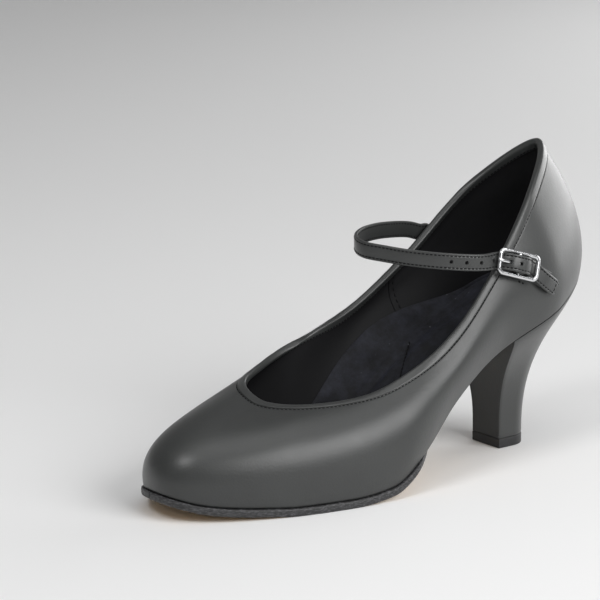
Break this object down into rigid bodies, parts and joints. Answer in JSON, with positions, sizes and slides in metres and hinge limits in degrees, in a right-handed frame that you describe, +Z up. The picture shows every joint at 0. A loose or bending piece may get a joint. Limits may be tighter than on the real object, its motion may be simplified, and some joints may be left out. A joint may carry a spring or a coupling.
{
  "type": "dance shoe",
  "caption": "Low-cut left dance shoe with an instep strap, a small buckle and a covered flared heel.",
  "frame": {"origin": "centre of the heel's tread, on the ground", "axes": "toe towards -Y, outer side of the foot +X, +Z up"},
  "size_m": [0.0838, 0.2343, 0.1385],
  "materials": {
    "upper_leather": "smooth, satin",
    "binding_leather": "smooth, satin",
    "lining_leather": "matt",
    "stiffener_board": "matt",
    "insole_board": "matt",
    "foam": "open foam",
    "sock_fabric": "soft, matt",
    "steel": "plain",
    "rivet_brass": "plain",
    "cork_filler": "granular",
    "sole_leather": "natural, buffed, black edge",
    "heel_plastic": "moulded",
    "heel_leather": "smooth, satin",
    "breast_leather": "smooth, matt",
    "top_piece_rubber": "matt",
    "strap_leather": "smooth, satin",
    "strap_lining_leather": "matt",
    "buckle_nickel": "polished"
  },
  "bodies": {
    "root": {"upper": "upper_leather", "topline_binding": "binding_leather", "vamp_lining": "lining_leather", "quarter_lining": "lining_leather", "toe_puff": "stiffener_board", "heel_counter": "stiffener_board", "insole_board": "insole_board", "sock_foam": "foam", "sock_cover": "sock_fabric", "shank": "steel", "shank_rivets": "rivet_brass", "bottom_filler": "cork_filler", "outsole": "sole_leather", "heel_block": "heel_plastic", "heel_cover": "heel_leather", "breast_cover": "breast_leather", "heel_screw": "steel", "heel_nails": "steel", "top_piece": "top_piece_rubber", "top_piece_pins": "steel"},
    "strap": {"strap": "strap_leather", "strap_lining": "strap_lining_leather", "chape": "strap_leather"},
    "buckle": {"buckle_frame": "buckle_nickel", "buckle_pin": "buckle_nickel"},
    "prong": {"prong": "buckle_nickel"}
  },
  "joints": [
    {"name": "strap_swing", "type": "hinge", "parent": "root", "child": "strap", "pos_m": [0.0326, -0.0065, 0.0845], "axis": [-0.9928, -0.1068, 0.0534], "range_deg": [-5, 15]},
    {"name": "buckle_pivot", "type": "hinge", "parent": "strap", "child": "buckle", "pos_m": [0.034, -0.0198, 0.0922], "axis": [-0.1862, 0.3373, 0.9228], "range_deg": [-1.5, 1.5]},
    {"name": "prong_pivot", "type": "hinge", "parent": "buckle", "child": "prong", "pos_m": [0.034, -0.0198, 0.0922], "axis": [-0.1862, 0.3373, 0.9228], "range_deg": [0, 4]}
  ]
}
